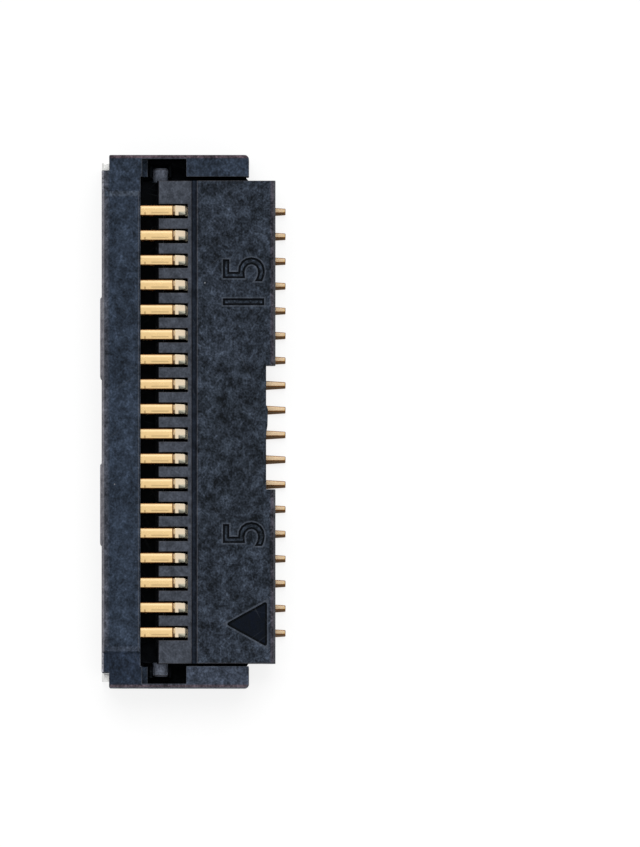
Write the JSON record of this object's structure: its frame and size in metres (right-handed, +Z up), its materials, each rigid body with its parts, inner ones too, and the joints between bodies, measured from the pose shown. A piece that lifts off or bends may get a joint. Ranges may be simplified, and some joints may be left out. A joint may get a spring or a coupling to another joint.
{
  "type": "fpc connector",
  "caption": "Low board connector for a flat flexible cable, with a row of hooked contacts and a flip-up lock hinged behind the cable mouth.",
  "frame": {"origin": "middle of the footprint on the board, at the height of the solder tails", "axes": "+X along the contact row towards pin 1, -Y out of the cable mouth, +Z up from the board"},
  "size_m": [0.0108, 0.0038, 0.001],
  "materials": {
    "housing_resin": "moulded glass-filled resin, fine grain",
    "actuator_resin": "moulded glass-filled resin, fine grain",
    "contact_gold": "thin gold plating over a sprung copper alloy",
    "fitting_tin": "bright tin plating"
  },
  "bodies": {
    "base": {"housing": "housing_resin", "contact_01": "contact_gold", "contact_02": "contact_gold", "contact_03": "contact_gold", "contact_04": "contact_gold", "contact_05": "contact_gold", "contact_06": "contact_gold", "contact_07": "contact_gold", "contact_08": "contact_gold", "contact_09": "contact_gold", "contact_10": "contact_gold", "contact_11": "contact_gold", "contact_12": "contact_gold", "contact_13": "contact_gold", "contact_14": "contact_gold", "contact_15": "contact_gold", "contact_16": "contact_gold", "contact_17": "contact_gold", "contact_18": "contact_gold", "fitting_left": "fitting_tin", "fitting_right": "fitting_tin"},
    "lock": {"actuator": "actuator_resin"}
  },
  "joints": [
    {"name": "lock_flip", "type": "hinge", "parent": "base", "child": "lock", "pos_m": [0, -0.00065, 0.00052], "axis": [1, 0, 0], "range_deg": [0, 90]}
  ]
}
